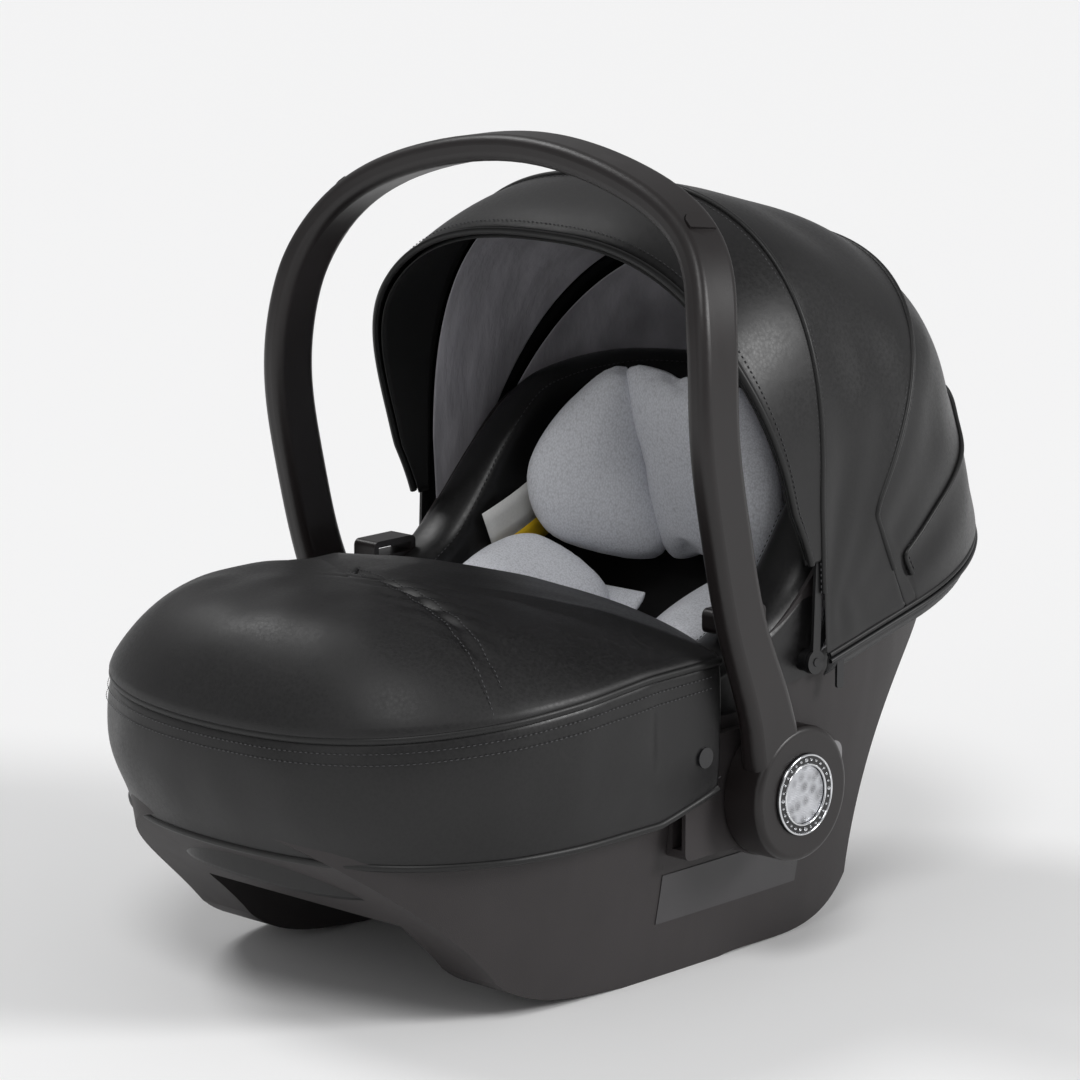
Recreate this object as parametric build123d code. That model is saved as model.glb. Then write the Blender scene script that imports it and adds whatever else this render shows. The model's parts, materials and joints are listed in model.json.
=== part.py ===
"""Infant car seat: moulded rocker shell, foam liner, cover, harness, folding canopy, apron and carry handle.

Millimetres. +Z up, +X to the seat's left-right, -Y is the foot end and +Y the head end.
The origin is on the floor at the middle of the object's footprint.
"""

from build123d import *
import os
from math import cos, sin, radians

# ---------------------------------------------------------------- driving dimensions
WALL = 4.0                       # shell moulding
GAP = 0.5                        # space between neighbouring pieces
SHELL_HALF_WIDTH = 190.0         # at the rim
SHELL_FRONT, SHELL_BACK = -362.0, 318.0
FLARE = 36.0                     # how far the shell narrows from the rim to the floor
RIM_LEVEL = 240.0                # height at which the shell has its full width
TUNNEL_HALF_WIDTH, TUNNEL_TOP = 98.0, 72.0
BOLSTER = 14.0                   # padded top of the cover, above the shell's rim
LINING = 4.0                     # cover inside the trough
SKIRT = 2.6                      # cover outside the shell

PIVOT_Y, PIVOT_Z = 10.0, 135.0   # handle pivot
HOUSING_X = 192.0                # outer face of the fixed pivot housing
HUB_INNER_X, HUB_OUTER_X = 194.0, 226.0
HUB_RADIUS = 50.0
PIN_RADIUS, PIN_PLAY = 7.0, 0.06
HANDLE_THICK = 20.0
BADGE_RADIUS = 30.0
BUTTON_RADIUS = 12.0

HINGE_Y, HINGE_Z = 53.0, 221.0   # canopy hinge
CANOPY_LEG = 120.0               # straight part of a hoop before its arch
FABRIC = 1.5
FRONT_HOOP, MID_HOOP = 88.0, 58.0          # angles above the horizontal, towards the head end
ZIP_ANGLES = (1.0, 3.6)
REAR_LAYER, MID_LAYER, FRONT_LAYER = (195.0, 325.0), (197.0, 329.0), (200.0, 334.0)
HOOP_WIDTH, HOOP_THICK = 8.0, 2.5

APRON_WALL = 5.0
APRON_BOTTOM = 128.0
STRAP_WIDTH, STRAP_THICK = 38.0, 2.0
BUCKLE_Y, BUCKLE_Z = -62.0, 152.0         # middle and underside of the buckle

# ---------------------------------------------------------------- helpers
def save(name, shape):
    """Writes one node."""
    solids = shape.solids()
    export_step(Compound(children=list(solids)) if len(solids) > 1 else solids[0], f"parts/{name}.step")


def both_sides(name, shape):
    """Writes a piece that is on the +X side, and its mirror image."""
    save(name + "_right", shape)
    save(name + "_left", mirror(shape, about=Plane.YZ))


def inset(points, distance):
    """Moves each point of an outline to its left by distance, along the outline's normal there."""
    moved = []
    last = len(points) - 1
    for i, (u, v) in enumerate(points):
        before, after = points[max(i - 1, 0)], points[min(i + 1, last)]
        du, dv = after[0] - before[0], after[1] - before[1]
        length = (du * du + dv * dv) ** 0.5
        moved.append((u - dv / length * distance, v + du / length * distance))
    return moved


def plan_face(half, distance, z):
    """A closed smooth outline in plan, from its +X half, moved in by distance."""
    right = inset([(-half[1][0], half[1][1])] + half + [(-half[-2][0], half[-2][1])], distance)[1:-1]
    left = [(-x, y) for x, y in reversed(right[1:-1])]
    return Pos(0, 0, z) * make_face(Spline(*right, *left, periodic=True))


def hull(half, distance, flare, low=-10.0, high=460.0):
    """A smooth tub-like solid on a plan outline, narrower towards the floor."""
    per_mm = flare / RIM_LEVEL
    levels = (low, RIM_LEVEL, high)
    insets = ((RIM_LEVEL - low) * per_mm, 0.0, -(high - RIM_LEVEL) * per_mm * 0.1)
    return loft([plan_face(half, distance + more, z) for z, more in zip(levels, insets)])


def side_prism(line, half_width=230.0):
    """A side-view outline, drawn in Y and Z, carried across the width."""
    return extrude(Plane.YZ * make_face(line), amount=half_width, both=True)


def above(points, top=470.0):
    """All that is above a side-view curve."""
    (first_y, first_z), (last_y, last_z) = points[0], points[-1]
    line = Spline(*points) + Polyline((last_y, last_z), (last_y, top), (first_y, top), (first_y, first_z))
    return side_prism(line)


def block(x, y, z):
    """A box from three (low, high) pairs."""
    size = [high - low for low, high in (x, y, z)]
    middle = [(high + low) / 2 for low, high in (x, y, z)]
    return Pos(*middle) * Box(*size)


def rod(x_low, x_high, y, z, radius):
    """A round bar along X."""
    x_low, x_high = sorted((x_low, x_high))
    return Pos((x_low + x_high) / 2, y, z) * Rot(0, 90, 0) * Cylinder(radius, x_high - x_low)


# ---------------------------------------------------------------- outlines
# +X half of the shell in plan, from the foot end to the head end
SHELL_PLAN = [(0, SHELL_FRONT), (92, -354), (148, -316), (178, -240), (189, -110),
              (SHELL_HALF_WIDTH, 30), (184, 140), (158, 226), (104, 290), (0, SHELL_BACK)]
# +X half of the child's trough at the rim
TROUGH_PLAN = [(0, -326), (82, -316), (120, -280), (136, -210), (142, -90),
               (143, 30), (140, 120), (126, 200), (86, 262), (0, 285)]
TROUGH_FLARE = 30.0
# side view of the trough's surface, from the foot end over the seat to the head end
TROUGH_FLOOR = [(-345, 190), (-250, 152), (-90, 116), (-10, 110), (50, 130), (130, 200), (210, 275),
                (278, 350), (300, 420)]
# side view of the shell's rim
RIM = [(-380, 186), (-290, 194), (-150, 206), (-50, 227), (25, 256), (60, 286), (100, 328), (145, 364),
       (190, 376), (250, 380), (330, 370)]
# side view of the lower edge of the cover's skirt
SKIRT_EDGE = [(-72, 212), (-48, 195), (0, 190), (60, 192), (120, 204), (200, 226), (330, 244)]
# side view of the underside, from the rim at the head end round to the rim at the foot end
BACK = [(326, 381), (330, 320), (304, 262), (252, 228), (206, 200), (168, 154), (148, 96), (146, 34)]
ROCKER_REAR = ((146, 34), (132, 17), (40, 1.5), (0, 0))
ROCKER_FRONT = ((-105, 0), (-150, 4), (-205, 16), (-232, 32))
FRONT = [(-232, 32), (-290, 86), (-338, 128), (-366, 160), (-378, 194)]


def underside(distance):
    """Shell outline in side view, moved in by distance and open upwards."""
    back = inset(BACK, -distance)
    front = inset(FRONT, -distance)
    rear = [(y - distance * 0.3, z + distance) for y, z in ROCKER_REAR]
    fore = [(y, z + distance) for y, z in ROCKER_FRONT]
    rear[0], fore[-1] = back[-1], front[0]
    top = 470.0
    return (Spline(*back) + Spline(*rear) + Line(rear[-1], fore[0]) + Spline(*fore) + Spline(*front)
            + Polyline(front[-1], (front[-1][0], top), (back[0][0], top), back[0]))


def below_rim(drop):
    """All that is lower than the rim by drop."""
    points = [(y, z - drop) for y, z in RIM]
    line = Spline(*points) + Polyline(points[-1], (points[-1][0], -20), (points[0][0], -20), points[0])
    return side_prism(line)


def tunnel(grow):
    """The open space between the two runners."""
    return block((-TUNNEL_HALF_WIDTH - grow, TUNNEL_HALF_WIDTH + grow), (-420, 420), (-30, TUNNEL_TOP + grow))


def trough(grow):
    """The child's hollow, made wider and deeper by grow."""
    return hull(TROUGH_PLAN, -grow, TROUGH_FLARE) & above(inset(TROUGH_FLOOR, -grow))


# ---------------------------------------------------------------- shell, liner and cover
def make_shell():
    """One thin moulding: side walls, raked front, upswept back and two box-section rocker runners."""
    outside = (hull(SHELL_PLAN, 0, FLARE) & side_prism(underside(0))) - tunnel(0)
    inside = (hull(SHELL_PLAN, WALL, FLARE) & side_prism(underside(WALL))) - tunnel(WALL)
    return (outside - inside) & below_rim(0)


def make_foam():
    """Energy-absorbing liner under the cover."""
    return (trough(24) - trough(LINING + 1)) & below_rim(2)


def between(low, high):
    """All that lies between two side-view curves."""
    line = Spline(*low) + Spline(*high) + Line(low[0], high[0]) + Line(low[-1], high[-1])
    return side_prism(line)


def make_bolster():
    """Padded top of the leather cover, lying on the rim."""
    band = between([(y, z + GAP) for y, z in RIM], [(y, z + BOLSTER) for y, z in RIM])
    bolster = (hull(SHELL_PLAN, -SKIRT, FLARE) & band) - trough(0)
    for side in (1, -1):
        bolster = bolster - belt_guide_space(side)
    return bolster


def make_skirt():
    """Leather skirt of the cover, outside the shell under the rim."""
    skirt = hull(SHELL_PLAN, -SKIRT, FLARE) - hull(SHELL_PLAN, -0.3, FLARE)
    skirt = skirt & above(SKIRT_EDGE) & below_rim(0)
    for side in (1, -1):
        skirt = skirt - rod(side * 170, side * 200, HINGE_Y, HINGE_Z, 8.5)
    return skirt


def make_lining():
    """Fabric lining of the trough."""
    return (trough(LINING) - trough(0)) & below_rim(GAP)


def make_head_pillow():
    """U-shaped newborn head support, along the head end of the trough."""
    middle = block((-80, 80), (142, 200), (245, 402))
    wings = block((-124, 124), (94, 190), (262, 392)) - block((-78, 78), (50, 142.5), (200, 460))
    return (middle + wings) & trough(-1)


def make_body_cushion():
    """Newborn insert: raised sides and a padded back and seat."""
    layer = trough(-1) - trough(-26)
    cushion = layer & below_rim(30) & block((-160, 160), (-170, 114), (60, 258))
    return cushion - block((-21, 21), (BUCKLE_Y - 4, BUCKLE_Y + 4), (60, 300))


# ---------------------------------------------------------------- harness
def along_trough(lift, thickness, y_low, y_high, x_low, x_high):
    """A band that follows the trough's floor at a height above it."""
    top, bottom = inset(TROUGH_FLOOR, lift + thickness), inset(TROUGH_FLOOR, lift)
    upper, lower = Spline(*top), Spline(*bottom)
    line = upper + lower + Line(top[0], bottom[0]) + Line(top[-1], bottom[-1])
    slab = extrude(Plane.YZ * make_face(line), amount=x_high - x_low)
    return Pos(x_low, 0, 0) * slab & block((-400, 400), (y_low, y_high), (0, 500))


def make_strap():
    """Shoulder strap on one side, from its slot down to the buckle."""
    return along_trough(28, STRAP_THICK, -28, 115, 22, 22 + STRAP_WIDTH)


def make_shoulder_pad():
    """Padded sleeve over a shoulder strap."""
    return along_trough(30.5, 6, 20, 112, 16, 28 + STRAP_WIDTH)


def make_buckle():
    """Buckle body, open at the head end for the two tongues and on top for its button."""
    body = block((-26, 26), (BUCKLE_Y - 30, BUCKLE_Y + 30), (BUCKLE_Z, BUCKLE_Z + 20))
    body = fillet(body.edges().filter_by(Axis.Z), 8)
    slot = block((-22, 22), (BUCKLE_Y + 8, BUCKLE_Y + 40), (BUCKLE_Z + 5, BUCKLE_Z + 9))
    well = block((-13, 13), (BUCKLE_Y - 20, BUCKLE_Y + 4), (BUCKLE_Z + 8, BUCKLE_Z + 30))
    return body - slot - well


def make_buckle_button():
    """Press button of the buckle."""
    button = block((-12.5, 12.5), (BUCKLE_Y - 19.5, BUCKLE_Y + 3.5), (BUCKLE_Z + 12, BUCKLE_Z + 22))
    return fillet(button.edges().group_by(Axis.Z)[-1], 1.5)


def make_tongue():
    """One steel tongue, with the slot that its strap is sewn through."""
    tongue = block((1, 21), (BUCKLE_Y + 9, BUCKLE_Y + 56), (BUCKLE_Z + 5.5, BUCKLE_Z + 8.5))
    wing = block((1, 62), (BUCKLE_Y + 36, BUCKLE_Y + 56), (BUCKLE_Z + 5.5, BUCKLE_Z + 8.5))
    return tongue + wing - block((20, 58), (BUCKLE_Y + 43, BUCKLE_Y + 49), (BUCKLE_Z, BUCKLE_Z + 20))


def make_crotch_strap():
    """Short strap that stands out of the seat and holds the buckle."""
    return block((-19, 19), (BUCKLE_Y - 1.5, BUCKLE_Y + 1.5), (119, BUCKLE_Z - GAP))


ADJUSTER_Y, ADJUSTER_Z = -232.0, 160.0


def make_adjuster():
    """Housing of the harness adjuster, in the seat's front."""
    body = block((-24, 24), (ADJUSTER_Y - 20, ADJUSTER_Y + 20), (ADJUSTER_Z, ADJUSTER_Z + 14))
    body = fillet(body.edges().filter_by(Axis.Z), 7)
    return body - block((-15, 15), (ADJUSTER_Y - 6, ADJUSTER_Y + 14), (ADJUSTER_Z + 4, ADJUSTER_Z + 30))


def make_adjuster_button():
    """Press button that frees the adjuster strap."""
    button = block((-14.5, 14.5), (ADJUSTER_Y - 5.5, ADJUSTER_Y + 13.5), (ADJUSTER_Z + 8, ADJUSTER_Z + 16))
    return fillet(button.edges().group_by(Axis.Z)[-1], 1.5)


def make_adjuster_strap():
    """Tail of the adjuster strap, lying on the trough's front."""
    return along_trough(9, STRAP_THICK, -300, ADJUSTER_Y - 21, -14, 14)


# ---------------------------------------------------------------- belt guides
GUIDE_X, GUIDE_Y, GUIDE_Z = (166.0, 188.0), (-34.0, 11.0), (252.0, 270.0)


def belt_guide_space(side):
    """Pocket of a belt guide in the cover's bolster."""
    x = [side * value for value in (GUIDE_X[0] - 30, GUIDE_X[1] + 20)]
    return block((min(x), max(x)), (GUIDE_Y[0] - GAP, GUIDE_Y[1] + GAP), (GUIDE_Z[0] - GAP, 300))


def make_belt_guide():
    """Loop on the rim that a lap belt passes through, across the seat."""
    loop = fillet(block(GUIDE_X, GUIDE_Y, GUIDE_Z).edges().filter_by(Axis.X), 5)
    return loop - block((100, 250), (GUIDE_Y[0] + 5, GUIDE_Y[1] - 5), (GUIDE_Z[0] + 6, GUIDE_Z[1] - 5))


# ---------------------------------------------------------------- pivot housing and release lever
def make_housing():
    """Fixed housing that carries the handle's pin, with a car-base adapter socket in its front."""
    disc = rod(165, HOUSING_X, PIVOT_Y, PIVOT_Z, HUB_RADIUS + 1)
    front = fillet(block((165, HOUSING_X), (-80, PIVOT_Y), (96, 184)).edges().filter_by(Axis.X), 6)
    rear = fillet(block((165, HOUSING_X), (PIVOT_Y, 86), (100, 162)).edges().filter_by(Axis.X), 8)
    housing = disc + front + rear
    housing = housing - block((179.5, 188.5), (-90, -50), (104, 152))
    housing = housing - rod(160, 200, PIVOT_Y, PIVOT_Z, PIN_RADIUS + PIN_PLAY)
    return housing - hull(SHELL_PLAN, -0.3, FLARE)


def make_pivot_pin():
    """Steel pin that the handle turns on."""
    return rod(182, HUB_INNER_X + 20, PIVOT_Y, PIVOT_Z, PIN_RADIUS)


LEVER_X = (HOUSING_X + GAP, 201.0)


def make_release_lever():
    """Finger lever behind the hub that lets go of the adapters."""
    lever = block(LEVER_X, (54, 84), (106, 158))
    lever = fillet(lever.edges().filter_by(Axis.X), 9)
    lever = lever - rod(180, 220, PIVOT_Y, PIVOT_Z, HUB_RADIUS + 2.5)
    grips = [block((199.5, 210), (70, 72), (116, 148)), block((199.5, 210), (76, 78), (118, 146))]
    return lever - grips[0] - grips[1]


# ---------------------------------------------------------------- carry handle
# middle line of the +X half, from the pivot to the top, with the width there
HANDLE_LINE = [((215, 6, 146), 56), ((215, -24, 208), 44), ((215, -48, 268), 40), ((215, -61, 316), 40),
               ((215, -71, 361), 40), ((214, -77, 404), 40), ((210, -75, 452), 40), ((198, -64, 500), 40),
               ((168, -48, 541), 40), ((96, -39, 574), 40), ((0, -36, 588), 40)]
BUTTON_STATION = 8


def handle_planes():
    """A cross-section plane at each point of the whole handle, left foot to right foot."""
    right = [point for point, width in HANDLE_LINE]
    points = [(-x, y, z) for x, y, z in right[:-1]] + right[::-1]
    widths = [width for point, width in HANDLE_LINE[:-1]] + [width for point, width in HANDLE_LINE[::-1]]
    planes = []
    for i, point in enumerate(points):
        tangent = Vector(*points[min(i + 1, len(points) - 1)]) - Vector(*points[max(i - 1, 0)])
        tangent = tangent.normalized()
        across = Vector(0, 1, 0)
        across = (across - tangent * across.dot(tangent)).normalized()
        planes.append((Plane(origin=point, x_dir=across, z_dir=tangent), widths[i]))
    return planes


def button_location(side):
    """Plane of a handle button: local Y points out of the handle."""
    planes = handle_planes()
    index = BUTTON_STATION if side < 0 else len(planes) - 1 - BUTTON_STATION
    return planes[index][0]


def half_moon(radius, depth):
    """A half disc with a short straight top, lying in the handle's surface."""
    disc = Cylinder(radius, depth, rotation=(90, 0, 0)) - Pos(0, 0, 20) * Box(60, 60, 40)
    return disc + Pos(0, 0, 2) * Box(2 * radius, depth, 4)


def make_handle_button(side):
    """Half-moon thumb button near the top corner of the handle."""
    plane = button_location(side)
    return plane * (Pos(0, HANDLE_THICK / 2 - 3.0, 0) * half_moon(BUTTON_RADIUS, 9))


def make_handle():
    """Bow handle with a round hub at each foot."""
    sections = [plane * RectangleRounded(width, HANDLE_THICK, 7.5) for plane, width in handle_planes()]
    bow = loft(sections)
    hub = rod(HUB_INNER_X, HUB_OUTER_X, PIVOT_Y, PIVOT_Z, HUB_RADIUS)
    hub = fillet(hub.edges().group_by(Axis.X)[-1], 5)
    bore = rod(HUB_INNER_X - 2, HUB_INNER_X + 21, PIVOT_Y, PIVOT_Z, PIN_RADIUS + PIN_PLAY)
    recess = rod(HUB_OUTER_X - 2.5, HUB_OUTER_X + 5, PIVOT_Y, PIVOT_Z, BADGE_RADIUS + 0.3)
    handle = bow + hub + mirror(hub, about=Plane.YZ)
    for cut in (bore, recess):
        handle = handle - cut - mirror(cut, about=Plane.YZ)
    for side in (1, -1):
        pocket = Pos(0, HANDLE_THICK / 2 - 3.0, 0) * half_moon(BUTTON_RADIUS + GAP, 16)
        handle = handle - button_location(side) * pocket
    return handle


def make_badge_ring():
    """Chrome ring of the round hub badge."""
    ring = rod(HUB_OUTER_X - 2.4, HUB_OUTER_X + 2, PIVOT_Y, PIVOT_Z, BADGE_RADIUS)
    ring = fillet(ring.edges().group_by(Axis.X)[-1], 1.5)
    return ring - rod(HUB_OUTER_X - 5, HUB_OUTER_X + 5, PIVOT_Y, PIVOT_Z, BADGE_RADIUS - 8)


def make_badge_face():
    """Plain domed middle of the hub badge."""
    face = rod(HUB_OUTER_X - 2.4, HUB_OUTER_X + 1, PIVOT_Y, PIVOT_Z, BADGE_RADIUS - 8.2)
    return fillet(face.edges().group_by(Axis.X)[-1], 1.0)


# ---------------------------------------------------------------- canopy
def arch_points(half_width, top):
    """+X half of a hoop's line, as (x, distance from the hinge), from the end of its leg to the top."""
    points = []
    for step in range(0, 10):
        angle = radians(step * 10)
        x = half_width * cos(angle) ** (2 / 2.6)
        points.append((x, CANOPY_LEG + (top - CANOPY_LEG) * sin(angle) ** (2 / 2.6)))
    return points[:-1] + [(0, top)]


def arch_line(half_width, top, start):
    """The whole of a hoop's line, legs included, starting at a distance from the hinge."""
    right = arch_points(half_width, top)
    left = [(-x, r) for x, r in right[:-1]]
    arch = Spline(*left, *right[::-1], tangents=((0, 1), (0, -1)))
    legs = [Line((side * half_width, start), (side * half_width, CANOPY_LEG)) for side in (-1, 1)]
    return legs[0] + arch + legs[1]


def arch_face(half_width, top, thickness, start):
    """A thin arched strip, in X and distance from the hinge, standing straight up over the hinge."""
    outer = arch_line(half_width, top, start)
    inner = arch_line(half_width - thickness, top - thickness, start)
    ends = [Line((side * half_width, start), (side * (half_width - thickness), start)) for side in (-1, 1)]
    return Plane.XZ * make_face(outer + inner + ends[0] + ends[1])


def at_angle(angle, shape):
    """Turns something built straight up over the hinge to an angle above the head-end horizontal."""
    return Pos(0, HINGE_Y, HINGE_Z) * Rot(angle - 90, 0, 0) * shape


def make_panel(layer, low, high, thickness=FABRIC, start=40.0):
    """A stretch of canopy between two angles: a dome turned about the hinge."""
    face = arch_face(layer[0], layer[1], thickness, start)
    return at_angle(low, revolve(face, Axis.X, high - low))


def hoop_space(angle):
    """The slab that a hoop lies in."""
    return at_angle(angle, Box(600, HOOP_WIDTH + 2 * GAP, 1200))


def make_hoop(inner_half_width, inner_top, angle):
    """A flat spring hoop with an eye on each hinge pin."""
    strip = arch_face(inner_half_width + HOOP_THICK, inner_top + HOOP_THICK, HOOP_THICK, 6)
    hoop = extrude(strip, amount=HOOP_WIDTH / 2, both=True)
    for side in (1, -1):
        x = sorted((side * inner_half_width, side * (inner_half_width + HOOP_THICK)))
        hoop = hoop + rod(x[0], x[1], 0, 0, 9)
        hoop = hoop - rod(x[0] - 1, x[1] + 1, 0, 0, 3.3)
    return at_angle(angle, hoop)


def make_visor():
    """Front brim of the canopy, drawn in towards its free edge."""
    start, end = FRONT_HOOP + 2, FRONT_HOOP + 17
    root = at_angle(start, arch_face(FRONT_LAYER[0], FRONT_LAYER[1] - 2, FABRIC, 78))
    edge = at_angle(end, arch_face(FRONT_LAYER[0] - 1, FRONT_LAYER[1] - 26, FABRIC, 82))
    return loft([root, edge], ruled=True) - hoop_space(FRONT_HOOP)


def make_hinge_post():
    """Boss on the shell's side with the pin that both hoops turn on."""
    boss = rod(180, 194.5, HINGE_Y, HINGE_Z, 8) - hull(SHELL_PLAN, -0.3, FLARE)
    return boss + rod(192, 201.6, HINGE_Y, HINGE_Z, 3)


SLIDER_Y, SLIDER_Z = 82.0, 222.5


def make_zip():
    """Zip that joins the canopy's rear edge to the cover, round the head end."""
    return make_panel((REAR_LAYER[0], REAR_LAYER[1]), *ZIP_ANGLES, thickness=2.0, start=48.0)


def make_slider():
    """Zip slider, with the bail that its pull hangs on."""
    body = block((193.5, 197.5), (SLIDER_Y - 5, SLIDER_Y + 8), (SLIDER_Z - 4, SLIDER_Z + 5))
    return fillet(body.edges().filter_by(Axis.X), 2) + rod(197, 201.2, SLIDER_Y, SLIDER_Z, 1.2)


def make_pull():
    """Zip pull, hanging on the slider."""
    pull = block((198.3, 200.3), (SLIDER_Y - 4, SLIDER_Y + 4), (SLIDER_Z - 26, SLIDER_Z + 4))
    pull = fillet(pull.edges().filter_by(Axis.X), 3)
    return pull - rod(197, 202, SLIDER_Y, SLIDER_Z, 1.6)


# ---------------------------------------------------------------- apron
# +X half of the apron in plan
APRON_PLAN = [(0, -372), (84, -361), (148, -326), (187, -268), (200, -200), (200.5, -130),
              (199.5, -84), (199, -50)]
# side view of the apron's top along the middle, from the foot end to its rear edge
APRON_TOP = [(-400, 196), (-364, 226), (-326, 262), (-262, 288), (-170, 292), (-90, 276), (-6, 254)]


def apron_solid(distance, top_drop):
    """The space under the apron's skin, moved in by distance."""
    half = inset(APRON_PLAN, distance)
    half[0] = (0, APRON_PLAN[0][1] + distance)
    left = [(-x, y) for x, y in half[:0:-1]]
    rear_x, rear_y = half[-1]
    line = Spline(*left, *half) + Polyline((rear_x, rear_y), (rear_x, 40), (-rear_x, 40), (-rear_x, rear_y))
    body = extrude(make_face(line), amount=500)
    top = [(y, z - top_drop) for y, z in APRON_TOP]
    slopes = Spline(*top) + Polyline(top[-1], (60, 232), (60, 0), (top[0][0], 0), top[0])
    return body & side_prism(slopes) & apron_crown(top_drop)


def apron_crown(drop):
    """Cross-section of the apron's top: a low crown that falls away to the sides."""
    points = [(-230, 190 - drop), (-201, 244 - drop), (-150, 272 - drop), (0, 294 - drop), (150, 272 - drop),
              (201, 244 - drop), (230, 190 - drop)]
    line = Spline(*points) + Polyline(points[-1], (230, 0), (-230, 0), points[0])
    return extrude(Plane.XZ * make_face(line), amount=450, both=True)


def rear_cut():
    """Plan of what is taken off the apron's rear: a shallow bay in the top, and the ends of the band."""
    bay = [(-230, -56), (-199, -56), (-150, -40), (0, -6), (150, -40), (199, -56), (230, -56)]
    line = Polyline(*bay[:2]) + Spline(*bay[1:6]) + Polyline(bay[5], bay[6], (230, 100), (-230, 100), bay[0])
    return extrude(make_face(line), amount=600)


def make_apron():
    """Foot cover: a band round the front of the seat, and a padded top with room for the legs under it."""
    skin = apron_solid(0, 0) - apron_solid(APRON_WALL, APRON_WALL)
    skin = skin & block((-300, 300), (-500, 100), (APRON_BOTTOM, 400))
    roll = hull(SHELL_PLAN, -SKIRT - GAP, 0) & below_rim(-BOLSTER - GAP)
    return skin - rear_cut() - roll


def make_snap():
    """Press stud at an end of the apron's band."""
    return rod(199.6, 202.4, -70, 173, 7.5)


def make_side_label():
    """Plain label on the outside of a runner."""
    skin = hull(SHELL_PLAN, -0.6, FLARE) - hull(SHELL_PLAN, -0.1, FLARE)
    return skin & block((100, 300), (-80, 76), (44, 82))


# ---------------------------------------------------------------- nodes
def main():
    """Writes every node."""
    os.makedirs("parts", exist_ok=True)
    save("outer_shell", make_shell())
    save("foam_liner", make_foam())
    save("cover_bolster", make_bolster())
    save("cover_skirt", make_skirt())
    save("cover_lining", make_lining())
    save("head_pillow", make_head_pillow())
    save("body_cushion", make_body_cushion())

    both_sides("shoulder_strap", make_strap())
    both_sides("shoulder_pad", make_shoulder_pad())
    both_sides("buckle_tongue", make_tongue())
    save("buckle_body", make_buckle())
    save("buckle_button", make_buckle_button())
    save("crotch_strap", make_crotch_strap())
    save("adjuster_housing", make_adjuster())
    save("adjuster_button", make_adjuster_button())
    save("adjuster_strap", make_adjuster_strap())

    both_sides("belt_guide", make_belt_guide())
    both_sides("pivot_housing", make_housing())
    both_sides("pivot_pin", make_pivot_pin())
    both_sides("release_lever", make_release_lever())
    save("side_label", make_side_label())

    save("carry_handle", make_handle())
    both_sides("badge_ring", make_badge_ring())
    both_sides("badge_face", make_badge_face())
    save("handle_button_right", make_handle_button(1))
    save("handle_button_left", make_handle_button(-1))

    both_sides("canopy_hinge", make_hinge_post())
    save("canopy_rear_panel", make_panel(REAR_LAYER, ZIP_ANGLES[1] + 0.2, 30))
    save("canopy_mid_panel", make_panel(MID_LAYER, 30, MID_HOOP) - hoop_space(MID_HOOP))
    save("canopy_hoop_mid", make_hoop(MID_LAYER[0] - FABRIC, MID_LAYER[1] - FABRIC, MID_HOOP))
    save("canopy_front_panel", make_panel(FRONT_LAYER, MID_HOOP, FRONT_HOOP) - hoop_space(FRONT_HOOP))
    save("canopy_hoop_front", make_hoop(FRONT_LAYER[0] - FABRIC, FRONT_LAYER[1] - FABRIC, FRONT_HOOP))
    save("canopy_visor", make_visor())
    save("zip", make_zip())
    save("zip_slider", make_slider())
    save("zip_pull", make_pull())

    save("apron", make_apron())
    both_sides("apron_snap", make_snap())


if __name__ == "__main__":
    main()
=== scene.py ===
"""Infant car seat: leather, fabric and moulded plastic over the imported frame.

Metres, +Z up, -Y the foot end.
"""
import json
import math

import bmesh
import bpy
from mathutils import Matrix, Vector, noise
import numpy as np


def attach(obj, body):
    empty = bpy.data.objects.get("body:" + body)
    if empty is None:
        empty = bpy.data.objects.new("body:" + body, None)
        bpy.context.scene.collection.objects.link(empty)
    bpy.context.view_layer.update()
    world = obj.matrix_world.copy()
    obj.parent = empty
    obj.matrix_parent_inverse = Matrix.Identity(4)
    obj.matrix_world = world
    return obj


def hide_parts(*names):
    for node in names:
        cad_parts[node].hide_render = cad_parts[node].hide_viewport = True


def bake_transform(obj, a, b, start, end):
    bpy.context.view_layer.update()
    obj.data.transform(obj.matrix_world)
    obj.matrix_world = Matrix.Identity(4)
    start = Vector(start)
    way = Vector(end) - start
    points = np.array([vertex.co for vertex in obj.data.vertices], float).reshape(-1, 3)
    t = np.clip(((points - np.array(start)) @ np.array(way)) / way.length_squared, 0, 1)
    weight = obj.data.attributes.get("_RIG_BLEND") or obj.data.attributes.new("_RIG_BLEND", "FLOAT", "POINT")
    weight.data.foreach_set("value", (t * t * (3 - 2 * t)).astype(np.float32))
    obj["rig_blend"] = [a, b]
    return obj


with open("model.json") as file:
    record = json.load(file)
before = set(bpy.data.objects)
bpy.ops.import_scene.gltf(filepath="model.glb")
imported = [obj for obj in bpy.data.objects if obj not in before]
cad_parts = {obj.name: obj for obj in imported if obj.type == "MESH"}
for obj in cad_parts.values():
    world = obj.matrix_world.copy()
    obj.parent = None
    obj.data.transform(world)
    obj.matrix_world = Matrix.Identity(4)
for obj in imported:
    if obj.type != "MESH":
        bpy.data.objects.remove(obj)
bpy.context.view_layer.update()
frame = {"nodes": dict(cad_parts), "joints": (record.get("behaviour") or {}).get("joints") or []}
NODES = frame["nodes"]
JOINTS = {joint["name"]: joint for joint in frame["joints"]}

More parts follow.
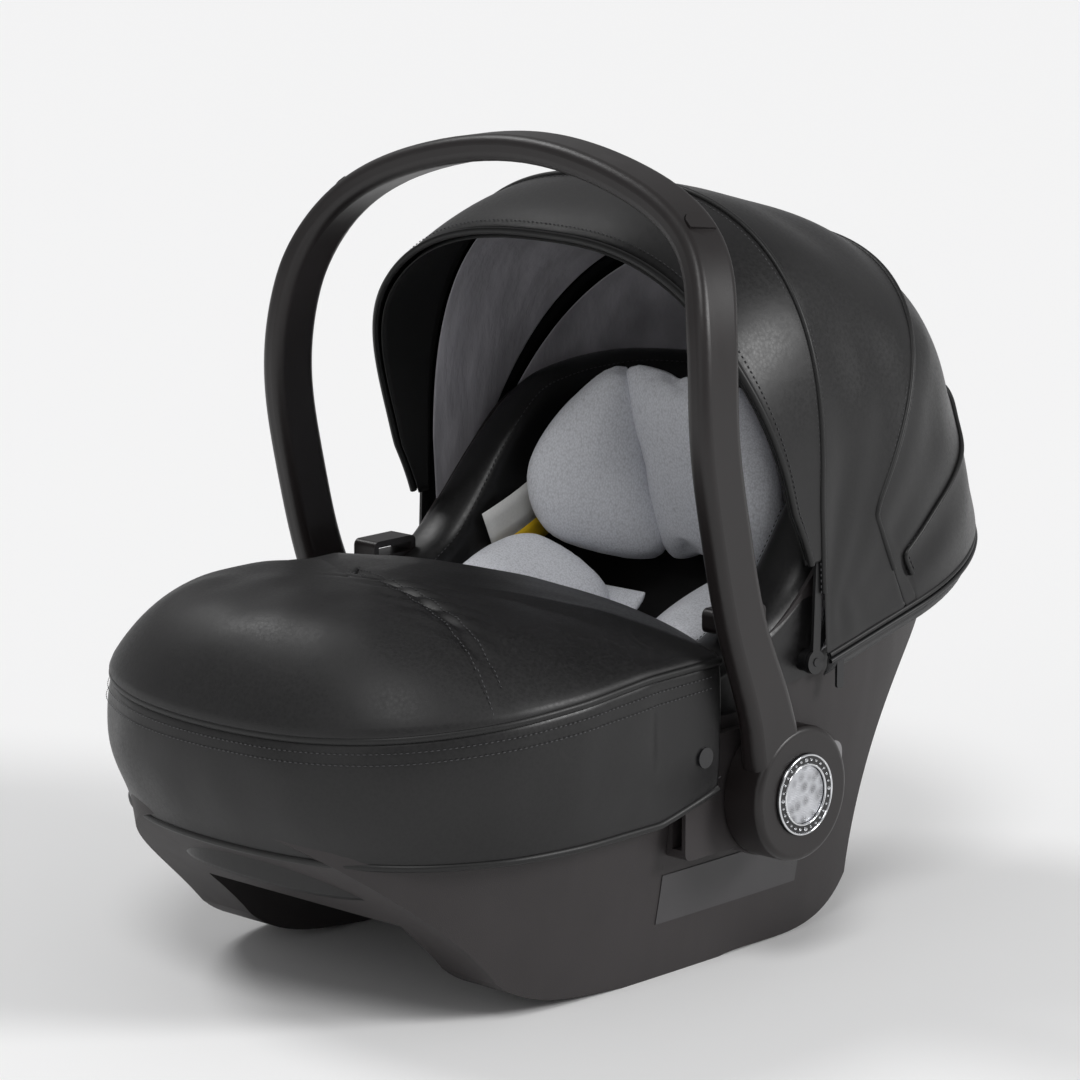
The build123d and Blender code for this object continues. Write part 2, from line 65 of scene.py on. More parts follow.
HINGE = Vector(JOINTS["canopy_mid_fold"]["pos_m"])     # canopy hinge, on the middle plane
HUB = Vector(JOINTS["handle_swing"]["pos_m"])          # handle pivot, on the middle plane
CANOPY_LEG = 0.120                       # straight part of a hoop before its arch
CANOPY_HALF, CANOPY_TOP = 0.2022, 0.336  # outside of the fabric: half width, and reach from the hinge
ARCH_POWER = 2 / 2.6                     # squareness of an arch
MID_HOOP, FRONT_HOOP = 58.0, 88.0        # angles above the head-end horizontal
ZIP_RISE = 13.0                          # angle of the zip's line
SEAM_ANGLE = 32.0                        # angle of the piped seam over the head end
SLACK_BELOW = 52                         # angle under which the fabric hangs slack
LEG_POINTS = 8                           # points on each straight leg of a hoop's line


# ---------------------------------------------------------------- node material helpers
class Shader:
    """A small wrapper for building one node material."""

    def __init__(self, name):
        self.material = bpy.data.materials.new(name)
        self.material.use_nodes = True
        self.tree = self.material.node_tree
        self.bsdf = self.tree.nodes["Principled BSDF"]
        self.coords = self.tree.nodes.new("ShaderNodeTexCoord").outputs["Object"]

    def node(self, kind, **settings):
        made = self.tree.nodes.new(kind)
        for key, value in settings.items():
            if hasattr(made, key):
                setattr(made, key, value)
            else:
                made.inputs[key.replace("_", " ")].default_value = value
        return made

    def link(self, source, target):
        self.tree.links.new(source, target)

    def set(self, **values):
        for key, value in values.items():
            self.bsdf.inputs[key.replace("_", " ")].default_value = value
        return self

    def noise(self, scale, detail=3.0, stretch=None):
        made = self.node("ShaderNodeTexNoise", Scale=scale, Detail=detail)
        self.link(self.placed(stretch), made.inputs["Vector"])
        return made.outputs["Fac"]

    def placed(self, stretch):
        if stretch is None:
            return self.coords
        mapping = self.node("ShaderNodeMapping")
        mapping.inputs["Scale"].default_value = stretch
        self.link(self.coords, mapping.inputs["Vector"])
        return mapping.outputs["Vector"]

    def cells(self, scale, feature="F1", stretch=None):
        made = self.node("ShaderNodeTexVoronoi", Scale=scale, feature=feature)
        self.link(self.placed(stretch), made.inputs["Vector"])
        return made.outputs["Distance"]

    def waves(self, scale, rotation, distortion=0.0):
        mapping = self.node("ShaderNodeMapping")
        mapping.inputs["Rotation"].default_value = rotation
        self.link(self.coords, mapping.inputs["Vector"])
        made = self.node("ShaderNodeTexWave", Scale=scale, Distortion=distortion)
        self.link(mapping.outputs["Vector"], made.inputs["Vector"])
        return made.outputs["Fac"]

    def math(self, operation, a, b):
        made = self.node("ShaderNodeMath", operation=operation)
        for socket, value in zip(made.inputs, (a, b)):
            if isinstance(value, (int, float)):
                socket.default_value = value
            else:
                self.link(value, socket)
        return made.outputs[0]

    def ramp(self, factor, low, high, start=0.3, end=0.7):
        made = self.node("ShaderNodeValToRGB")
        made.color_ramp.elements[0].position = start
        made.color_ramp.elements[1].position = end
        made.color_ramp.elements[0].color = (*low, 1)
        made.color_ramp.elements[1].color = (*high, 1)
        self.link(factor, made.inputs["Fac"])
        return made.outputs["Color"]

    def colour(self, factor, low, high, start=0.3, end=0.7):
        self.link(self.ramp(factor, low, high, start, end), self.bsdf.inputs["Base Color"])

    def roughness(self, factor, low, high):
        span = self.node("ShaderNodeMapRange")
        span.inputs["To Min"].default_value = low
        span.inputs["To Max"].default_value = high
        self.link(factor, span.inputs["Value"])
        self.link(span.outputs["Result"], self.bsdf.inputs["Roughness"])

    def bump(self, *layers):
        """Each layer is (height, strength, distance)."""
        last = None
        for height, strength, distance in layers:
            made = self.node("ShaderNodeBump", Strength=strength, Distance=distance)
            self.link(height, made.inputs["Height"])
            if last is not None:
                self.link(last, made.inputs["Normal"])
            last = made.outputs["Normal"]
        self.link(last, self.bsdf.inputs["Normal"])


def leather(name, base, rough=0.36, grain=360.0, strength=1.0):
    """Pebbled leather; grain is pebbles per metre."""
    s = Shader(name)
    pebbles = s.cells(grain)
    fine = s.noise(1900, 2)
    broad = s.noise(14, 4)
    s.colour(s.math("ADD", s.math("MULTIPLY", pebbles, 0.7), s.math("MULTIPLY", broad, 0.5)),
             tuple(c * 0.7 for c in base), tuple(c * 1.6 for c in base), 0.2, 0.8)
    mixed = s.math("ADD", s.math("MULTIPLY", pebbles, 0.5), s.math("MULTIPLY", broad, 0.5))
    s.roughness(mixed, rough - 0.08, rough + 0.14)
    s.bump((broad, 0.15, 0.006), (pebbles, -strength, 0.0026), (fine, 0.15, 0.0003))
    s.set(Specular_IOR_Level=0.42)
    return s.material


def moulded(name, base, rough=0.4, grain=1400.0, strength=0.12):
    """Moulded plastic with a fine spark texture and faint scuffs."""
    s = Shader(name)
    fine = s.noise(grain, 2)
    broad = s.noise(9, 4)
    scuff = s.noise(60, 6, (1, 1, 0.15))
    s.colour(broad, tuple(c * 0.85 for c in base), tuple(c * 1.2 for c in base))
    mixed = s.math("ADD", s.math("MULTIPLY", fine, 0.4), s.math("MULTIPLY", scuff, 0.6))
    s.roughness(mixed, rough - 0.06, rough + 0.12)
    s.bump((fine, strength, 0.0004), (broad, 0.03, 0.002))
    return s.material


def knit(name, base, pitch=760.0):
    """Light spacer fabric: a fine diagonal honeycomb."""
    s = Shader(name)
    holes = s.cells(pitch, stretch=(1.0, 1.0, 0.62))
    broad = s.noise(22, 4)
    diagonal = s.waves(95, (0.6, 0.3, 0.8))
    lit = s.math("ADD", 0.75, s.math("MULTIPLY", broad, 0.15))
    shade = s.math("ADD", s.math("MULTIPLY", holes, -0.55), lit)
    s.colour(shade, tuple(c * 0.66 for c in base), tuple(min(c * 1.12, 1) for c in base), 0.15, 0.85)
    s.bump((holes, -0.55, 0.0009), (diagonal, 0.10, 0.0004), (broad, 0.12, 0.003))
    s.set(Roughness=0.85, Sheen_Weight=0.35, Sheen_Roughness=0.4)
    return s.material


def satin(name, base):
    """Thin shiny lining cloth with soft creases, with painted shade in the creases and a painted sheen on
    their crests.
    """
    s = Shader(name)
    crease = s.noise(26, 5, (1.0, 1.0, 0.35))
    weave = s.waves(900, (0, 0, 0.4))
    # painted shade and sheen: the colour follows the crease height, darker in the hollows and lighter on the
    # crests
    s.colour(crease, tuple(c * 0.7 for c in base), tuple(min(c * 1.25, 1) for c in base))
    s.roughness(crease, 0.26, 0.42)
    s.bump((crease, 0.55, 0.010), (weave, 0.06, 0.0002))
    s.set(Sheen_Weight=0.2, Specular_IOR_Level=0.6)
    return s.material


def webbing(name, base):
    """Woven harness band, ribbed both ways."""
    s = Shader(name)
    rib = s.waves(420, (0, 0, 0))
    cross = s.waves(300, (0, 0, math.pi / 2))
    crossed = s.math("MULTIPLY", rib, cross)
    s.colour(crossed, tuple(c * 0.6 for c in base), tuple(c * 1.5 for c in base), 0.1, 0.9)
    s.bump((rib, 0.5, 0.0006), (cross, 0.4, 0.0005))
    s.set(Roughness=0.75, Sheen_Weight=0.15)
    return s.material


def metal(name, base, rough=0.2):
    """Brushed metal."""
    s = Shader(name)
    brush = s.noise(300, 3, (1, 12, 1))
    s.colour(brush, tuple(c * 0.9 for c in base), base)
    s.roughness(brush, rough - 0.05, rough + 0.08)
    s.bump((brush, 0.05, 0.0002))
    s.set(Metallic=1.0)
    return s.material


def guilloche(name, base):
    """Silver badge face with plain facets."""
    s = Shader(name)
    rings = s.waves(260, (0, math.pi / 2, 0))
    facets = s.cells(120)
    s.colour(facets, tuple(c * 0.55 for c in base), base, 0.1, 0.6)
    s.roughness(facets, 0.2, 0.4)
    s.bump((rings, 0.3, 0.0006), (facets, 0.5, 0.001))
    s.set(Metallic=0.9)
    return s.material


def blank_label(name, base):
    """Unprinted label material with a faint fibre."""
    s = Shader(name)
    fibres = s.noise(500, 4)
    s.colour(fibres, tuple(c * 0.93 for c in base), base)
    s.bump((fibres, 0.08, 0.0002))
    s.set(Roughness=0.45)
    return s.material


def pale_floor(name, base):
    """Matt backdrop."""
    return Shader(name).set(Base_Color=(*base, 1), Roughness=0.9, Specular_IOR_Level=0.1).material


M = {
    "leather": leather("leather_black", (0.0050, 0.0048, 0.0050)),
    "leather_soft": leather("leather_black_soft", (0.0046, 0.0044, 0.0046), rough=0.44, strength=0.9),
    "piping": leather("leather_piping", (0.005, 0.005, 0.005), rough=0.42, grain=700.0, strength=0.4),
    "shell": moulded("shell_plastic", (0.0215, 0.0180, 0.0185), rough=0.52, strength=0.35),
    "handle": moulded("handle_plastic", (0.0085, 0.0062, 0.0062), rough=0.36),
    "black": moulded("black_plastic", (0.006, 0.006, 0.0065), rough=0.4),
    "grey": moulded("grey_plastic", (0.22, 0.215, 0.22), rough=0.38),
    "gloss": moulded("gloss_black", (0.008, 0.008, 0.009), rough=0.16, strength=0.02),
    "foam": moulded("liner_foam", (0.62, 0.62, 0.62), rough=0.8, grain=300.0, strength=0.5),
    "knit": knit("insert_knit", (0.80, 0.815, 0.86)),
    "satin": satin("lining_satin", (0.42, 0.41, 0.44)),
    "webbing": webbing("harness_webbing", (0.012, 0.012, 0.013)),
    "steel": metal("steel", (0.55, 0.55, 0.57), 0.28),
    "chrome": metal("chrome", (0.80, 0.81, 0.83), 0.10),
    "silver": guilloche("badge_silver", (0.62, 0.63, 0.66)),
    "thread": moulded("stitch_thread", (0.045, 0.045, 0.048), rough=0.5),
    "label": blank_label("label_white", (0.78, 0.78, 0.76)),
    "patch": moulded("patch_film", (0.040, 0.038, 0.040), rough=0.28, strength=0.05),
    "lining_dark": leather("visor_inner_black", (0.004, 0.004, 0.004), rough=0.6, grain=700.0, strength=0.3),
    "zip_teeth": webbing("zip_teeth", (0.010, 0.010, 0.011)),
    "label_band": blank_label("label_yellow", (0.80, 0.52, 0.02)),
    "floor": pale_floor("floor_pale", (0.92, 0.92, 0.92)),
}


# ---------------------------------------------------------------- mesh helpers
def new_mesh(name, vertices, faces, material, smooth=True):
    """A mesh object in the scene, from points and faces."""
    mesh = bpy.data.meshes.new(name)
    mesh.from_pydata([tuple(v) for v in vertices], [], faces)
    mesh.validate()
    mesh.polygons.foreach_set("use_smooth", [smooth] * len(mesh.polygons))
    obj = bpy.data.objects.new(name, mesh)
    bpy.context.scene.collection.objects.link(obj)
    mesh.materials.append(M[material])
    return obj


def grid(name, rows, material, around=False):
    """A sheet from rows of points; around joins each row's end to its start."""
    width = len(rows[0])
    vertices = [p for row in rows for p in row]
    faces = []
    for j in range(len(rows) - 1):
        for i in range(width if around else width - 1):
            k = (i + 1) % width
            faces.append((j * width + i, j * width + k, (j + 1) * width + k, (j + 1) * width + i))
    return new_mesh(name, vertices, faces, material)


def modifier(obj, kind, **settings):
    """Adds a modifier with its settings."""
    made = obj.modifiers.new(kind.lower(), kind)
    for key, value in settings.items():
        setattr(made, key, value)
    return made


def apply_all(obj):
    """Bakes every modifier into the mesh."""
    graph = bpy.context.evaluated_depsgraph_get()
    baked = bpy.data.meshes.new_from_object(obj.evaluated_get(graph))
    obj.modifiers.clear()
    obj.data = baked
    return obj


def tube(name, points, radius, material, closed=False):
    """A round cord of piping or thread through points."""
    data = bpy.data.curves.new(name, "CURVE")
    data.dimensions = "3D"
    data.bevel_depth = radius
    data.bevel_resolution = 3
    data.resolution_u = 3
    spline = data.splines.new("NURBS")
    spline.points.add(len(points) - 1)
    for target, p in zip(spline.points, points):
        target.co = (*p, 1)
    spline.order_u = 3
    spline.use_cyclic_u = closed
    spline.use_endpoint_u = not closed
    obj = bpy.data.objects.new(name, data)
    bpy.context.scene.collection.objects.link(obj)
    data.materials.append(M[material])
    return obj


def meshed(curve):
    """The curve object turned into a mesh object of the same name."""
    graph = bpy.context.evaluated_depsgraph_get()
    mesh = bpy.data.meshes.new_from_object(curve.evaluated_get(graph))
    name = curve.name
    bpy.data.objects.remove(curve)
    obj = bpy.data.objects.new(name, mesh)
    bpy.context.scene.collection.objects.link(obj)
    return obj


def stitches(name, points, material="thread", pitch=0.0042, length=0.0028, radius=0.00042):
    """A row of separate short stitches along a line of points."""
    path = [Vector(p) for p in points]
    bm = bmesh.new()
    carried = 0.0
    for a, b in zip(path, path[1:]):
        step = (b - a).length
        if step < 1e-6:
            continue
        along = (b - a) / step
        turn = along.to_track_quat("Z", "Y").to_matrix().to_4x4()
        while carried < step:
            drawn_out = Matrix.Diagonal((1, 1, length / radius / 2, 1))
            spot = Matrix.Translation(a + along * carried) @ turn @ drawn_out
            bmesh.ops.create_icosphere(bm, subdivisions=1, radius=radius, matrix=spot)
            carried += pitch
        carried -= step
    mesh = bpy.data.meshes.new(name)
    bm.to_mesh(mesh)
    bm.free()
    mesh.polygons.foreach_set("use_smooth", [True] * len(mesh.polygons))
    obj = bpy.data.objects.new(name, mesh)
    bpy.context.scene.collection.objects.link(obj)
    mesh.materials.append(M[material])
    return obj


def curve_through(points, count, closed=False):
    """Catmull-Rom samples through a few points."""
    pts = [Vector(p) for p in points]
    n = len(pts)
    spans = n if closed else n - 1
    out = []
    for k in range(count):
        u = k / (count if closed else count - 1) * spans
        i = min(int(u), spans - 1)
        t = u - i
        if closed:
            a, b, c, d = (pts[(i + j) % n] for j in (-1, 0, 1, 2))
        else:
            a, b, c, d = (pts[min(max(i + j, 0), n - 1)] for j in (-1, 0, 1, 2))
        bend = (2 * a - 5 * b + 4 * c - d) * t * t + (3 * b - a - 3 * c + d) * t ** 3
        out.append(0.5 * ((2 * b) + (c - a) * t + bend))
    return out


def lookup(table, y):
    """Height at y on a side-view line of (y, z) points, smoothly."""
    if y <= table[0][0]:
        return table[0][1]
    for i in range(len(table) - 1):
        (y0, z0), (y1, z1) = table[i], table[i + 1]
        if y <= y1:
            t = (y - y0) / (y1 - y0)
            before = table[i - 1] if i else table[i]
            after = table[i + 2] if i + 2 < len(table) else table[i + 1]
            m0 = (z1 - before[1]) / (y1 - before[0]) * (y1 - y0)
            m1 = (after[1] - z0) / (after[0] - y0) * (y1 - y0)
            return ((2 * t ** 3 - 3 * t * t + 1) * z0 + (t ** 3 - 2 * t * t + t) * m0
                    + (3 * t * t - 2 * t ** 3) * z1 + (t ** 3 - t * t) * m1)
    return table[-1][1]


def fold(p, scale, seed=0.0):
    """Smooth waviness of cloth at a point, from -1 to 1."""
    return noise.noise(Vector(p) * scale + Vector((seed, seed * 2.0, -seed)))


def inflate(obj, pressure=4.0, frames=20, cap=0.010, voxel=0.005):
    """Pads a closed form with air by cloth simulation, and limits how far each point may move."""
    modifier(obj, "REMESH", mode="VOXEL", voxel_size=voxel, use_smooth_shade=True)
    apply_all(obj)
    start = [v.co.copy() for v in obj.data.vertices]
    cloth = modifier(obj, "CLOTH")
    cloth.settings.use_pressure = True
    cloth.settings.uniform_pressure_force = pressure
    cloth.settings.effector_weights.gravity = 0
    cloth.settings.quality = 4
    cloth.settings.tension_stiffness = 12
    cloth.settings.bending_stiffness = 0.4
    cloth.collision_settings.use_collision = False
    cloth.point_cache.frame_start = 1
    cloth.point_cache.frame_end = frames
    for f in range(1, frames + 1):
        bpy.context.scene.frame_set(f)
    apply_all(obj)
    bpy.context.scene.frame_set(1)
    for v, rest in zip(obj.data.vertices, start):
        moved = v.co - rest
        if moved.length > cap:
            v.co = rest + moved * (cap / moved.length)
    modifier(obj, "SMOOTH", factor=0.5, iterations=3)
    modifier(obj, "SUBSURF", levels=1, render_levels=1)
    apply_all(obj)
    obj.data.polygons.foreach_set("use_smooth", [True] * len(obj.data.polygons))
    return obj


def copy_node(node, name, material):
    """A new piece with a copy of a CAD node's mesh."""
    obj = bpy.data.objects.new(name, NODES[node].data.copy())
    bpy.context.scene.collection.objects.link(obj)
    obj.data.materials.clear()
    obj.data.materials.append(M[material])
    return obj


def place(obj, body, slot, *nodes):
    """The piece rides a body and stands for the CAD nodes named; slot is not used."""
    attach(obj, body)
    if nodes:
        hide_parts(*nodes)
    return obj


# ---------------------------------------------------------------- canopy
def arch(half_width, top, count, start=0.010, power=ARCH_POWER):
    """Points (x, r) of a hoop's line, from the left leg's foot to the right leg's foot."""
    right = [(half_width, start + (CANOPY_LEG - start) * k / LEG_POINTS) for k in range(LEG_POINTS)]
    for k in range(count + 1):
        a = math.pi / 2 * k / count
        right.append((half_width * max(math.cos(a), 0) ** power,
                      CANOPY_LEG + (top - CANOPY_LEG) * math.sin(a) ** power))
    return [(-x, r) for x, r in right[:-1]] + right[::-1]


def turned(x, r, angle):
    """A point at an angle above the head-end horizontal, at a distance from the hinge."""
    a = math.radians(angle)
    return Vector((x, HINGE.y + r * math.cos(a), HINGE.z + r * math.sin(a)))


def slack_arch(half_width, top, angle, count):
    """The arch at an angle: rounder and a little smaller where the fabric hangs slack over the head end."""
    slack = min(max((SLACK_BELOW - angle) / (SLACK_BELOW - ZIP_RISE), 0), 1)
    lower = CANOPY_LEG + (top - CANOPY_LEG) * (1 - 0.045 * slack)
    return arch(half_width, lower, count, 0.010, ARCH_POWER + (1 - ARCH_POWER) * slack)


def foot_of(angle):
    """Where a line of the fabric meets the zip: its distance from the hinge and its angle."""
    reach = 0.012 + 0.0925 * (FRONT_HOOP - angle) / (FRONT_HOOP - MID_HOOP)
    return min(reach, CANOPY_LEG - 0.002), min(angle, ZIP_RISE)


def fabric_line(half_width, top, angle, count=26):
    """Points of the fabric over a hoop angle, from the zip on the left to the zip on the right."""
    reach, rise = foot_of(angle)
    line = slack_arch(half_width, top, angle, count)
    points = []
    for k, (x, r) in enumerate(line):
        from_end = min(k, len(line) - 1 - k)
        if from_end < LEG_POINTS:
            t = from_end / LEG_POINTS
            low, high = turned(x, reach, rise), turned(x, CANOPY_LEG, angle)
            points.append(low.lerp(high, t ** 0.9))
        else:
            points.append(turned(x, r, angle))
    return points


def canopy_sheet(name, low, high, half_width, top, material, steps, inward=0.0, sag=0.003, crumple=0.0):
    """Fabric between two hoop angles, hollow between them and creased near its ends."""
    rows = []
    for j in range(steps + 1):
        t = j / steps
        angle = low + (high - low) * t
        hollow = sag * math.sin(math.pi * t)
        row = []
        for p in fabric_line(half_width - inward, top - inward, angle):
            away = p - Vector((0, HINGE.y, HINGE.z))
            share = min(math.hypot(away.y, away.z) / top, 1)
            fan = math.atan2(away.z, away.y) * 7 + abs(p.x) * 16
            pull = 0.5 + 0.5 * math.sin(fan * 3.0 + 4 * fold((p.x, share, 0.3), 5))
            depth = 0.6 * fold(p, 15, 3.1) + 0.4 * pull * (1 - share)
            crease = crumple * depth * math.sin(math.pi * t) ** 0.5
            scale = 1 - (hollow * share + crease) / top
            across = 1 - (hollow * 0.5 * share + 0.4 * crease) / half_width
            row.append(Vector((p.x * across, HINGE.y + away.y * scale, HINGE.z + away.z * scale)))
        rows.append(row)
    obj = grid(name, rows, material)
    modifier(obj, "SOLIDIFY", thickness=0.0012, offset=-1 if not inward else 0)
    modifier(obj, "SUBSURF", levels=1, render_levels=1)
    return apply_all(obj)


def blend_by_angle(obj, a, b, low, high):
    """The piece follows body a at the low angle and b at the high angle, and turns in between."""
    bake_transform(obj, a, b, start=tuple(turned(0, 0.3, low)), end=tuple(turned(0, 0.3, high)))
    weights = obj.data.attributes["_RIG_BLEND"].data
    for v, w in zip(obj.data.vertices, weights):
        angle = math.degrees(math.atan2(v.co.z - HINGE.z, v.co.y - HINGE.y))
        w.value = min(max((angle - low) / (high - low), 0), 1)


def hang(sheet, slot, follows, *nodes):
    """Gives a canopy sheet the nodes it stands for, and blends it between two bodies; slot is not used."""
    if nodes:
        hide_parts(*nodes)
    blend_by_angle(sheet, *follows)


REAR_FOLLOWS = ("seat", "canopy_mid", ZIP_RISE, MID_HOOP - 1)
FRONT_FOLLOWS = ("canopy_mid", "canopy_front", MID_HOOP + 1, FRONT_HOOP - 1)
LINING_GAP = 0.010


def make_canopy():
    """Leather cover and satin lining in two sheets each, and the piping over the hoops."""
    half, top = CANOPY_HALF, CANOPY_TOP
    rear = canopy_sheet("canopy_cover_rear", ZIP_RISE, MID_HOOP, half - 0.0006, top - 0.001, "leather", 34,
                        crumple=0.014)
    hang(rear, "leather", REAR_FOLLOWS, "canopy_rear_panel", "canopy_mid_panel")
    front = canopy_sheet("canopy_cover_front", MID_HOOP, FRONT_HOOP + 1, half, top, "leather", 18,
                         sag=0.006, crumple=0.011)
    hang(front, "leather", FRONT_FOLLOWS, "canopy_front_panel")
    lining = canopy_sheet("canopy_lining_rear", ZIP_RISE + 2, MID_HOOP - 2, half, top, "satin", 30,
                          inward=LINING_GAP, crumple=0.014)
    hang(lining, "lining", REAR_FOLLOWS)
    lining = canopy_sheet("canopy_lining_front", MID_HOOP + 2, FRONT_HOOP, half, top, "satin", 16,
                          inward=LINING_GAP, crumple=0.012)
    hang(lining, "lining", FRONT_FOLLOWS)
    hoops = (("hoop_piping_front", FRONT_HOOP + 1.0, "canopy_front"),
             ("hoop_piping_mid", MID_HOOP, "canopy_mid"))
    for name, angle, body in hoops:
        line = fabric_line(half + 0.0004, top + 0.0012, angle, 20)[3:-3]
        place(tube(name, line, 0.0024, "piping"), body, "leather")
        for k, offset in enumerate((-1.2, 1.2)):
            line = fabric_line(half + 0.0004, top - 0.0002, angle + offset, 40)[3:-3]
            place(stitches(f"{name}_stitch_{k}", line), body, "leather")


def laid_on(points, cloth, lift):
    """The points moved on to a cloth's surface, and out from it by lift."""
    found = [cloth.closest_point_on_mesh(p) for p in points]
    return [spot + (p - spot).normalized() * lift for p, (_, spot, _, _) in zip(points, found)]


def make_canopy_edges():
    """Piped third seam, and the zip's tape, teeth and binding round the canopy's lower edge."""
    half, top = CANOPY_HALF - 0.0006, CANOPY_TOP - 0.0015
    cloth = bpy.data.objects["canopy_cover_rear"]
    seam = laid_on(fabric_line(half + 0.02, top + 0.02, SEAM_ANGLE, 48)[5:-5], cloth, 0.001)
    beside = laid_on([turned_by(p, -0.9) * 1.02 for p in seam], cloth, 0.0003)
    hang(meshed(tube("rear_seam_piping", seam, 0.0020, "piping")), "leather", REAR_FOLLOWS)
    hang(stitches("rear_seam_stitch", beside), "leather", REAR_FOLLOWS)
    low = zip_line(half + 0.0002, top - 0.001, 0.0)
    teeth = zip_line(half + 0.0014, top + 0.0005, -0.0045)
    tape = zip_line(half - 0.001, top - 0.002, -0.010)
    strip = grid("zip_tape", [low, tape, zip_line(half - 0.004, top - 0.006, -0.016)], "zip_teeth")
    modifier(strip, "SOLIDIFY", thickness=0.0012, offset=-1)
    place(apply_all(strip), "seat", "webbing", "zip")
    place(tube("zip_coil", teeth, 0.0019, "black"), "seat", "webbing")
    coil = stitches("zip_coil_teeth", teeth, "gloss", pitch=0.0022, length=0.0016, radius=0.0021)
    place(coil, "seat", "webbing")
    place(tube("canopy_lower_binding", low, 0.0022, "piping"), "seat", "leather")


def turned_by(p, degrees):
    """The point turned about the canopy's hinge axis."""
    turn = Matrix.Rotation(math.radians(degrees), 4, "X")
    return turn @ (p - HINGE) + HINGE


def zip_line(half_width, top, lift):
    """The line where canopy and cover meet, from the left hinge round the head end to the right hinge."""
    reaches = [0.014 + (CANOPY_LEG - 0.016) * k / LEG_POINTS for k in range(LEG_POINTS)]
    side = [turned(half_width, reach, ZIP_RISE) for reach in reaches]
    crown = slack_arch(half_width, top, ZIP_RISE, 30)[LEG_POINTS:-LEG_POINTS]
    round_head = [turned(x, r, ZIP_RISE) for x, r in crown]
    left = [Vector((-p.x, p.y, p.z)) for p in side]
    return [p + Vector((0, 0, lift)) for p in left + round_head + side[::-1]]


def visor_edge(s):
    """Angle of the visor's free edge at share s of the way from a leg's foot to the top."""
    reach = 8 + 11 * math.sin(min(s * 1.9, 1) * math.pi / 2)
    return FRONT_HOOP + reach - 3.0 * max(s - 0.55, 0) / 0.45


def make_visor():
    """Stiffened visor in front of the front hoop, with its dark facing and piped edge."""
    half, top = CANOPY_HALF - 0.0006, CANOPY_TOP
    line = arch(half, top, 26, 0.074)
    n = len(line) - 1
    rows = []
    steps = 10
    for j in range(steps + 1):
        t = j / steps
        row = []
        for i, (x, r) in enumerate(line):
            s = 1 - abs(2 * i / n - 1)
            angle = FRONT_HOOP + (visor_edge(s) - FRONT_HOOP) * t
            draw = 1 - 0.075 * s ** 0.7 * t ** 1.3
            row.append(turned(x * (1 - 0.012 * t * s), r * draw, angle))
        rows.append(row)
    outer = grid("canopy_visor_cover", rows, "leather")
    modifier(outer, "SOLIDIFY", thickness=0.0030, offset=0)
    modifier(outer, "SUBSURF", levels=1, render_levels=1)
    place(apply_all(outer), "canopy_front", "leather", "canopy_visor")
    under = [[HINGE + (p - HINGE) * 0.984 + Vector((-0.0025 if p.x > 0 else 0.0025, 0, 0)) for p in row]
             for row in rows]
    facing = grid("canopy_visor_facing", under, "lining_dark")
    modifier(facing, "SOLIDIFY", thickness=0.001, offset=0)
    place(apply_all(facing), "canopy_front", "lining")
    place(tube("visor_edge_piping", rows[-1], 0.0028, "piping"), "canopy_front", "leather")
    inner_line = [p + (p - HINGE).normalized() * 0.0022 for p in rows[-2]]
    place(stitches("visor_edge_stitch", inner_line), "canopy_front", "leather")


# ---------------------------------------------------------------- apron
APRON_HALF = 0.198                                # half width at the free rear edge
APRON_MIDDLE_Y = -0.2
APRON_CROWN = Vector((0, -0.225, 0.292))
HEM_Z, HEM_END_RISE = 0.130, 0.017                # height of the hem, and how much it rises at its ends
BAND_HALF, BAND_HALF_REAR = 0.212, 0.1995         # limits of the band's half width
HANDLE_FRONT_Y = -0.12                            # behind this the band keeps inside the handle's legs
# +X half of the apron's seam in plan
APRON_OUTLINE = [(APRON_HALF, -0.052), (0.1990, -0.090), (0.2000, -0.150), (0.1985, -0.205), (0.183, -0.266),
                 (0.143, -0.322), (0.082, -0.354), (0, -0.364)]
# the seam that slants over the apron's top: its ends in plan, its stitched run, and the way across it
SLANT_START, SLANT_END = Vector((-0.020, -0.200)), Vector((0.186, -0.262))
SLANT_RUN, SLANT_ACROSS = Vector((0.200, -0.0602)), Vector((-0.29, 0.96))


def apron_ring(count):
    """Plan of the apron's seam, from the right rear end round the foot end to the left rear end."""
    left = [(-x, y) for x, y in APRON_OUTLINE[-2::-1]]
    return curve_through([(x, y, 0) for x, y in APRON_OUTLINE + left], count)


def seam_height(p):
    """Height of the seam between the apron's top and its band."""
    return 0.215 + 0.024 * min(max((p.y + 0.38) / 0.25, 0), 1) ** 0.8


def rear_edge(x):
    """The apron's free rear edge, as a point at x."""
    s = abs(x) / APRON_HALF
    return Vector((x, -0.008 - 0.047 * s ** 1.7, 0.252 - 0.012 * s ** 2))


def apron_top_point(edge, ring):
    """A point on the apron's padded top: ring 1 on the seam, 0 at the crown."""
    p = APRON_CROWN.lerp(edge, ring)
    front = min(max(-(edge.y + 0.1) / 0.25, 0), 1)
    power = 2.2 + 2.8 * front
    p.z = edge.z + (APRON_CROWN.z - edge.z) * (1 - ring ** power)
    along, off = seam_place(p)
    wrinkle = 0.0045 * fold((p.x, p.y * 0.5, 0), 9, 1.7) + 0.0016 * fold(p, 30, 4.2)
    if 0 < along < 1:
        groove = -0.0032 * math.exp(-(off / 0.0055) ** 2)
        pucker = 0.0016 * math.exp(-(off / 0.022) ** 2) * math.sin(along * 46 + 9 * off / 0.03)
        wrinkle += pucker + groove
    p.z += wrinkle * (1 - ring ** 6)
    return p


def seam_place(p):
    """Share of the way along the apron's slanting seam, and the distance to its side."""
    line = SLANT_END - SLANT_START
    to = Vector((p.x, p.y)) - SLANT_START
    return to.dot(line) / line.length_squared, (to.x * line.y - to.y * line.x) / line.length


def outward(p):
    """Level direction from the apron's middle to a point."""
    return Vector((p.x, p.y - APRON_MIDDLE_Y, 0)).normalized()


